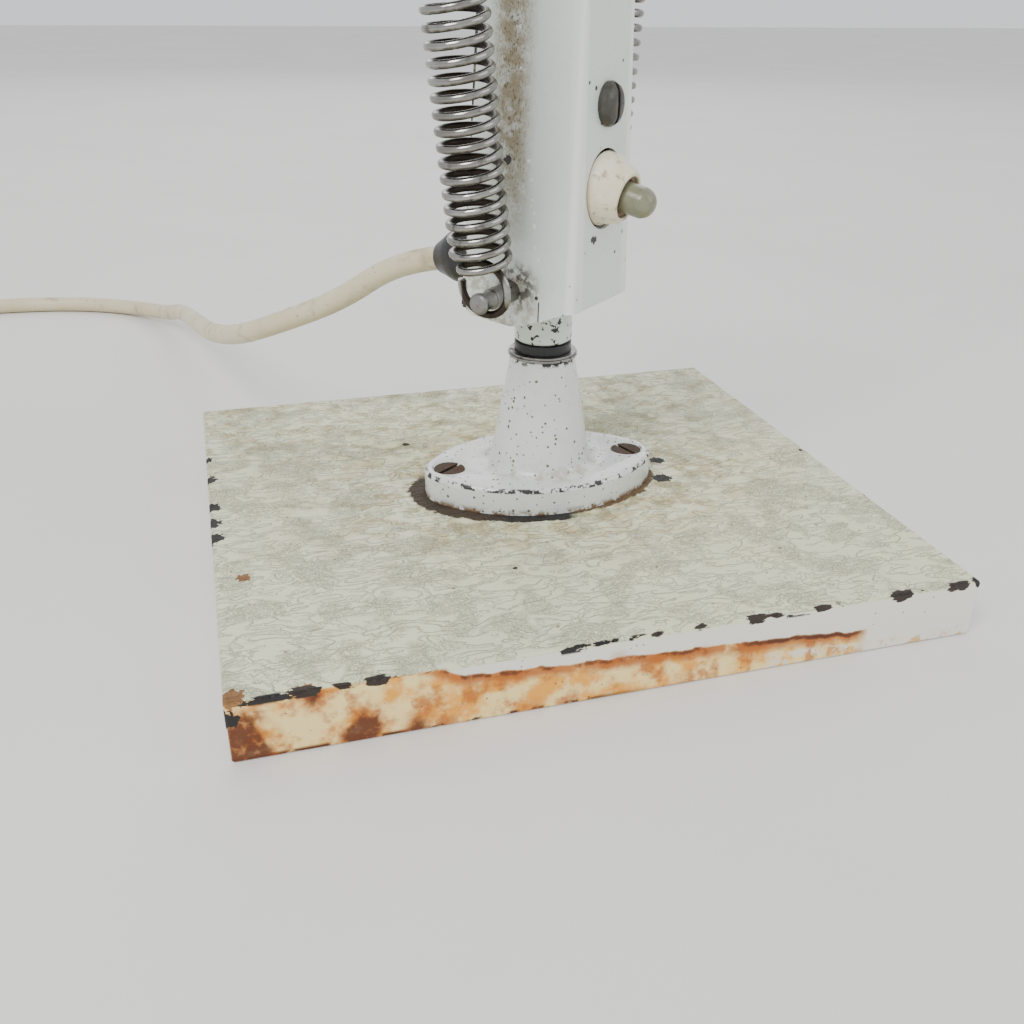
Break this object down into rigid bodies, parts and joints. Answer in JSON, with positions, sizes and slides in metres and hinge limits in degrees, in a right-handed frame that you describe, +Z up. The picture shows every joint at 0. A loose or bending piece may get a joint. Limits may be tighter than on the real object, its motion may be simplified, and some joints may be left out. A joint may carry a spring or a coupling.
{
  "type": "tabletop searchlight lamp",
  "caption": "Spring balanced table lamp: heavy plate base, swivelling tapered pillar with push switch and side springs, jointed arm, searchlight drum head.",
  "frame": {"origin": "on the swivel axis at the underside of the base plate", "axes": "+X along the plate's front edge to the right, +Y to the back of the plate, +Z up the swivel axis; the pillar and head stand turned 41 degrees about +Z at rest"},
  "size_m": [0.5121, 0.5009, 0.4853],
  "materials": {
    "plate_enamel": "crinkled cream enamel on steel, rusted edges",
    "foot_enamel": "white enamel with dark specks on a casting",
    "pillar_enamel": "pale cream gloss enamel, chipped",
    "arm_enamel": "pale cream gloss enamel",
    "rusty_steel": "rusted steel",
    "zinc_steel": "dull zinc plated steel",
    "spring_steel": "nickel plated spring wire",
    "brown_steel": "browned steel",
    "black_rubber": "black rubber",
    "black_steel": "black enamel",
    "cream_moulding": "cream moulded plastic, aged",
    "brown_moulding": "brown stained plastic",
    "sage_moulding": "grey green moulded plastic",
    "black_moulding": "black moulded plastic",
    "cord_jacket": "cream rubber cord",
    "plug_moulding": "cream moulded plug",
    "brass": "brass",
    "bright_aluminium": "polished aluminium",
    "rim_chrome": "chrome plate",
    "clear_glass": "clear glass",
    "bulb_glass": "frosted bulb"
  },
  "bodies": {
    "base": {"base_plate": "plate_enamel", "foot_casting": "foot_enamel", "foot_screws": "rusty_steel", "lower_washer": "zinc_steel", "upper_washer": "zinc_steel", "bearing_bush": "black_rubber", "swivel_bolt": "zinc_steel", "swivel_nut": "zinc_steel"},
    "pillar": {"pillar_shell": "pillar_enamel", "rear_cover": "black_steel", "pivot_block": "pillar_enamel", "spring_pins": "zinc_steel", "left_spring": "spring_steel", "right_spring": "spring_steel", "switch_housing": "cream_moulding", "switch_guide": "brown_moulding", "switch_nut": "zinc_steel", "front_screw": "brown_steel", "switch_strap": "zinc_steel", "cord_gland": "black_rubber", "supply_cord": "cord_jacket", "cord_coil": "cord_jacket", "plug_body": "plug_moulding", "plug_pins": "brass", "shoulder_bushes": "brass"},
    "button": {"push_button": "sage_moulding"},
    "lower_arm": {"shoulder_shaft": "zinc_steel", "shaft_spacers": "zinc_steel", "right_lever": "zinc_steel", "left_lever": "zinc_steel", "lever_pins": "zinc_steel", "shaft_nuts": "zinc_steel", "shoulder_knuckle": "arm_enamel", "lower_tube": "arm_enamel", "elbow_fork": "arm_enamel", "elbow_bolt": "zinc_steel", "elbow_washer": "zinc_steel", "elbow_knob": "black_moulding"},
    "upper_arm": {"elbow_tongue": "arm_enamel", "upper_tube": "arm_enamel", "wrist_socket": "arm_enamel"},
    "yoke": {"yoke": "arm_enamel", "yoke_stem": "zinc_steel"},
    "head": {"lamp_housing": "arm_enamel", "rear_cap": "arm_enamel", "lamp_holder": "black_moulding", "bulb": "bulb_glass", "reflector": "bright_aluminium", "lens": "clear_glass", "front_rim": "rim_chrome", "aiming_grip": "black_moulding", "tilt_screws": "black_moulding"}
  },
  "joints": [
    {"name": "swivel", "type": "hinge", "parent": "base", "child": "pillar", "pos_m": [0, 0, 0.0615], "axis": [0, 0, 1], "range_deg": [-170, 170]},
    {"name": "switch_press", "type": "slide", "parent": "pillar", "child": "button", "axis": [-0.6417, 0.7382, 0.2079], "range_m": [0, 0.004], "stiffness_N_per_m": 250, "springref_m": -0.002},
    {"name": "shoulder", "type": "hinge", "parent": "pillar", "child": "lower_arm", "pos_m": [0.00197, -0.00226, 0.228], "axis": [0.7547, 0.6561, 0], "range_deg": [-25, 35], "deforming": ["left_spring", "right_spring"]},
    {"name": "elbow", "type": "hinge", "parent": "lower_arm", "child": "upper_arm", "pos_m": [-0.03077, 0.0354, 0.46276], "axis": [0.7547, 0.6561, 0], "range_deg": [-60, 15]},
    {"name": "head_roll", "type": "hinge", "parent": "upper_arm", "child": "yoke", "pos_m": [0.08474, -0.09748, 0.42533], "axis": [0.6417, -0.7382, -0.2079], "range_deg": [-120, 120]},
    {"name": "head_tilt", "type": "hinge", "parent": "yoke", "child": "head", "pos_m": [0.12453, -0.14325, 0.41244], "axis": [0.7547, 0.6561, 0], "range_deg": [-85, 50]}
  ]
}
